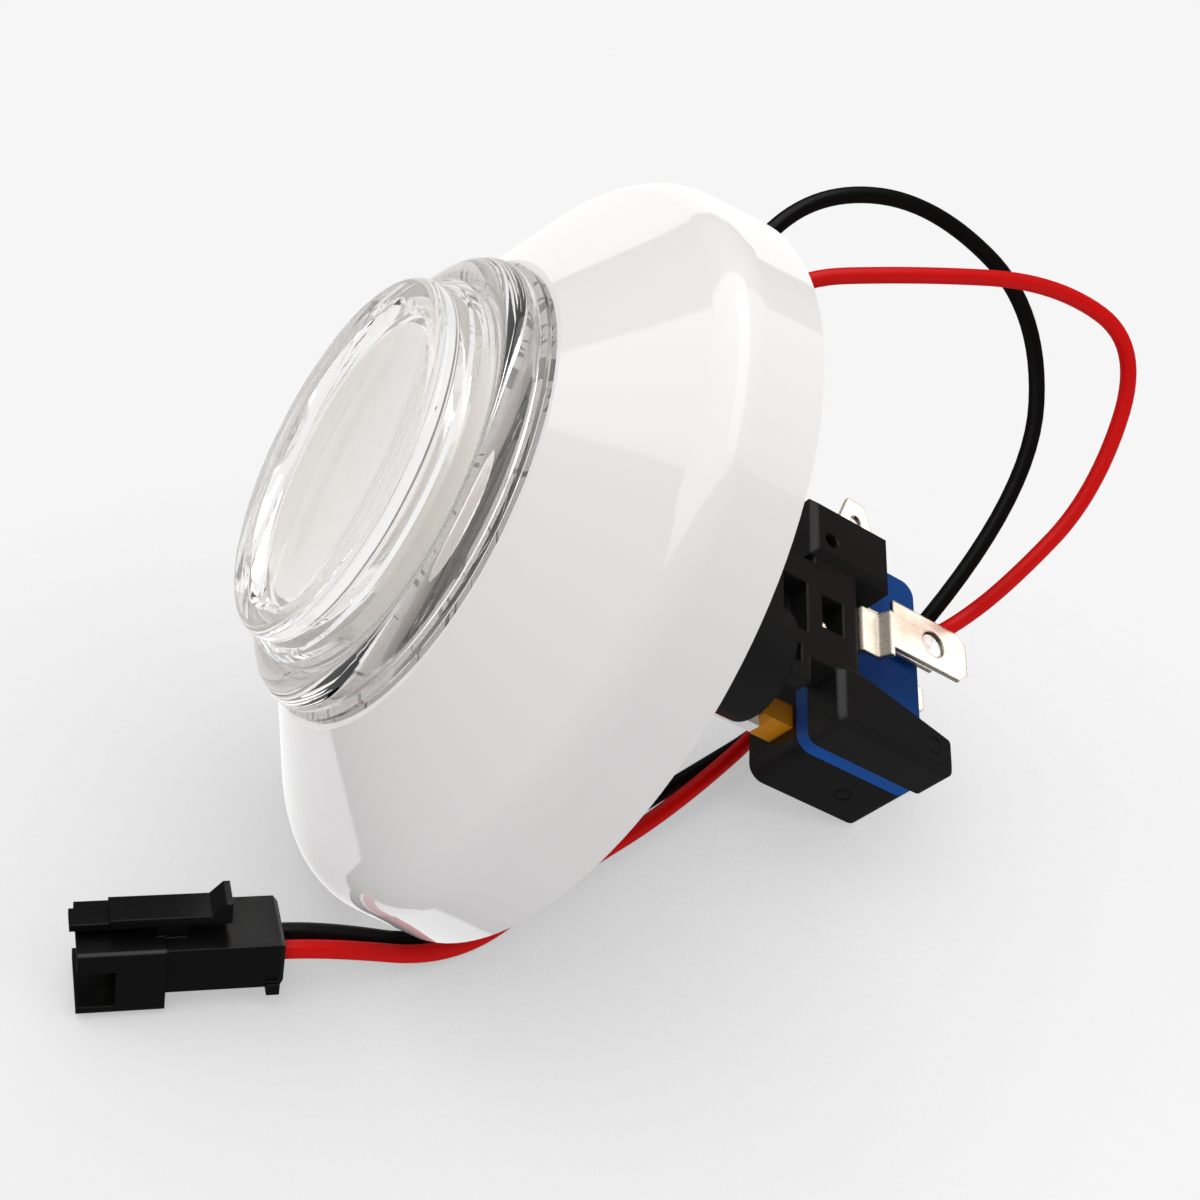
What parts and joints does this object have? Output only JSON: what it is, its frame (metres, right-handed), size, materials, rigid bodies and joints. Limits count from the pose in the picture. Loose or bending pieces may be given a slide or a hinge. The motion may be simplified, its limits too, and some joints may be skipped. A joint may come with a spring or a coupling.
{
  "type": "push_button",
  "caption": "Lit arcade push button: clear concave cap in a glossy white conical riser, snap switch, lamp holder and red and black lead with a latch plug.",
  "frame": {"origin": "Centre of the riser's back rim plane, where it sits on the panel.", "axes": "+Z is the push axis out of the panel, +X runs along the switch to its near end, +Y from the switch to the lamp tab."},
  "size_m": [0.0931, 0.076, 0.0893],
  "materials": {
    "white_gloss": "glossy white moulding",
    "clear_plastic": "clear polycarbonate",
    "white_matte": "translucent white moulding",
    "black_plastic": "satin black moulding",
    "blue_plastic": "satin blue moulding",
    "orange_plastic": "orange moulding",
    "tinned_brass": "tin plated stamping",
    "brass": "spring brass",
    "spring_steel": "drawn spring wire",
    "red_pvc": "soft red insulation",
    "black_pvc": "soft black insulation"
  },
  "bodies": {
    "housing": {"outer_shell": "white_gloss", "collar": "clear_plastic", "fixing_nut": "black_plastic", "return_spring": "spring_steel", "lamp_holder": "black_plastic", "lamp_contact_front": "tinned_brass", "lamp_contact_rear": "tinned_brass", "lamp_base": "white_matte", "lamp_lens": "clear_plastic", "switch_case": "black_plastic", "switch_cover": "blue_plastic", "common_terminal": "tinned_brass", "open_terminal": "tinned_brass", "closed_terminal": "tinned_brass", "connector_housing": "black_plastic", "connector_contacts": "tinned_brass", "red_wire": "red_pvc", "black_wire": "black_pvc"},
    "plunger": {"plunger_cap": "clear_plastic", "diffuser": "white_matte", "plunger_stem": "white_matte"},
    "pusher": {"switch_plunger": "orange_plastic"},
    "blade": {"contact_blade": "brass"}
  },
  "joints": [
    {"name": "push", "type": "slide", "parent": "housing", "child": "plunger", "axis": [0, 0, -1], "range_m": [0, 0.0024], "stiffness_N_per_m": 500, "springref_m": -0.004, "deforming": ["return_spring"]},
    {"name": "pusher_slide", "type": "slide", "parent": "housing", "child": "pusher", "axis": [0, 0, -1], "range_m": [0, 0.0024]},
    {"name": "blade_hinge", "type": "hinge", "parent": "housing", "child": "blade", "pos_m": [-0.018, -0.00735, -0.03825], "axis": [0, 1, 0], "range_deg": [0, 7.9]}
  ],
  "couplings": [
    {"joint": "pusher_slide", "follows": "push", "ratio": 1},
    {"joint": "blade_hinge", "follows": "push", "rad_per_m": 57.143}
  ]
}
